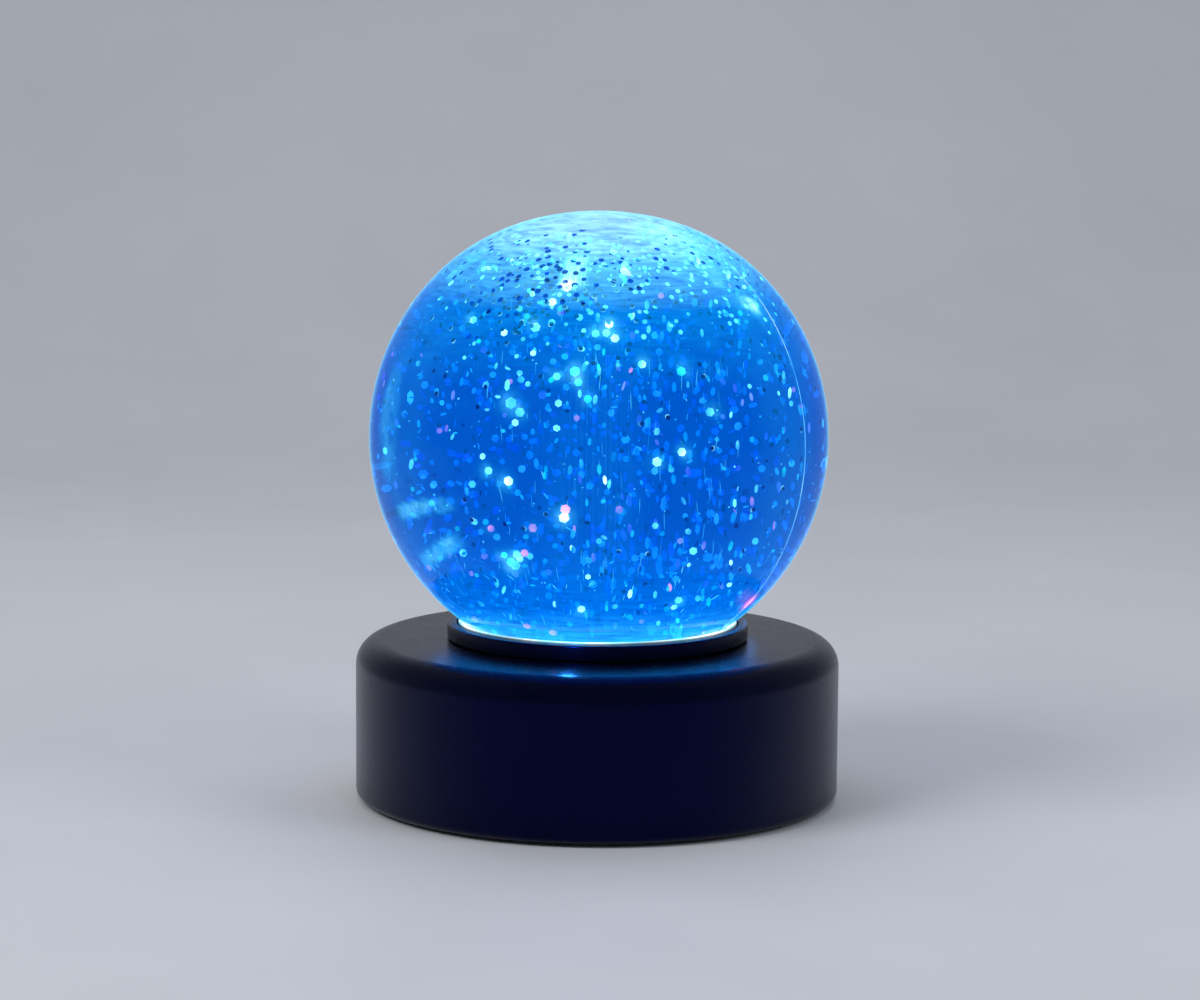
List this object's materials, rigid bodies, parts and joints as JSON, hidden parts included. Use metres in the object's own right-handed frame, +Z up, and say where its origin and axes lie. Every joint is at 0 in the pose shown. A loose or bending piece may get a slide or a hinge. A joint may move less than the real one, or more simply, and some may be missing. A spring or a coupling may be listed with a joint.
{
  "type": "glitter globe lamp",
  "caption": "Battery lamp: a clear liquid-filled globe with swirling glitter, lit blue from below, held by a low collar on a round black base with a large rounded top edge.",
  "frame": {"origin": "on the table under the centre of the base", "axes": "+Z up through the globe's crown; -Y is the front of the lamp and +Y the side with the switch; +X completes the frame"},
  "size_m": [0.127, 0.127, 0.1543],
  "materials": {
    "clear_plastic": "clear, polished",
    "liquid": "clear liquid, lit blue from below",
    "silicone": "translucent, lit from below",
    "black_shell": "satin, fine moulded texture",
    "black_cover": "matte, moulded texture",
    "rubber": "matte",
    "steel": "plated",
    "magnet": "nickel plated",
    "white_plastic": "satin",
    "led": "clear lens over phosphor",
    "circuit_board": "solder mask",
    "cell": "printed sleeve, plain",
    "red_lead": "satin"
  },
  "bodies": {
    "lamp": {"base_housing": "black_shell", "battery_1": "cell", "battery_2": "cell", "battery_3": "cell", "battery_lead_black": "rubber", "battery_lead_red": "red_lead", "battery_spring_1": "steel", "battery_spring_2": "steel", "battery_spring_3": "steel", "bottom_cover": "black_cover", "collar_ring": "black_shell", "contact_plate_1": "steel", "contact_plate_2": "steel", "contact_plate_3": "steel", "contact_plate_4": "steel", "control_board": "circuit_board", "control_chip": "black_cover", "cover_screw_1": "steel", "cover_screw_2": "steel", "cover_screw_3": "steel", "cover_screw_4": "steel", "cup_screw_1": "steel", "cup_screw_2": "steel", "cup_screw_3": "steel", "foot_1": "rubber", "foot_2": "rubber", "foot_3": "rubber", "foot_4": "rubber", "globe_gasket": "silicone", "globe_liquid": "liquid", "globe_plug": "clear_plastic", "globe_shell": "clear_plastic", "impeller_cap": "clear_plastic", "impeller_pin": "steel", "led_1": "led", "led_2": "led", "led_3": "led", "led_4": "led", "led_5": "led", "led_6": "led", "led_board": "white_plastic", "led_lead": "white_plastic", "light_cup": "white_plastic", "motor_can": "steel", "motor_end_cap": "black_cover", "motor_lead_black": "rubber", "motor_lead_red": "red_lead", "motor_screw_1": "steel", "motor_screw_2": "steel", "plug_seal": "rubber", "switch_body": "steel"},
    "drive": {"motor_shaft": "steel", "magnet_carrier": "white_plastic", "drive_magnet_1": "magnet", "drive_magnet_2": "magnet"},
    "stirrer": {"impeller": "clear_plastic", "impeller_magnet": "magnet"},
    "switch_knob": {"switch_slider": "black_cover"},
    "door": {"battery_door": "black_cover"}
  },
  "joints": [
    {"name": "motor_spin", "type": "hinge", "parent": "lamp", "child": "drive", "pos_m": [0, 0, 0.03], "axis": [0, 0, 1], "continuous": true},
    {"name": "impeller_spin", "type": "hinge", "parent": "lamp", "child": "stirrer", "pos_m": [0, 0, 0.0467], "axis": [0, 0, 1], "continuous": true},
    {"name": "switch_slide", "type": "slide", "parent": "lamp", "child": "switch_knob", "axis": [1, 0, 0], "range_m": [0, 0.0048]},
    {"name": "battery_door_hinge", "type": "hinge", "parent": "lamp", "child": "door", "pos_m": [0, -0.0227, 0.0017], "axis": [-1, 0, 0], "range_deg": [0, 95]}
  ],
  "couplings": [
    {"joint": "impeller_spin", "follows": "motor_spin", "ratio": 1}
  ]
}
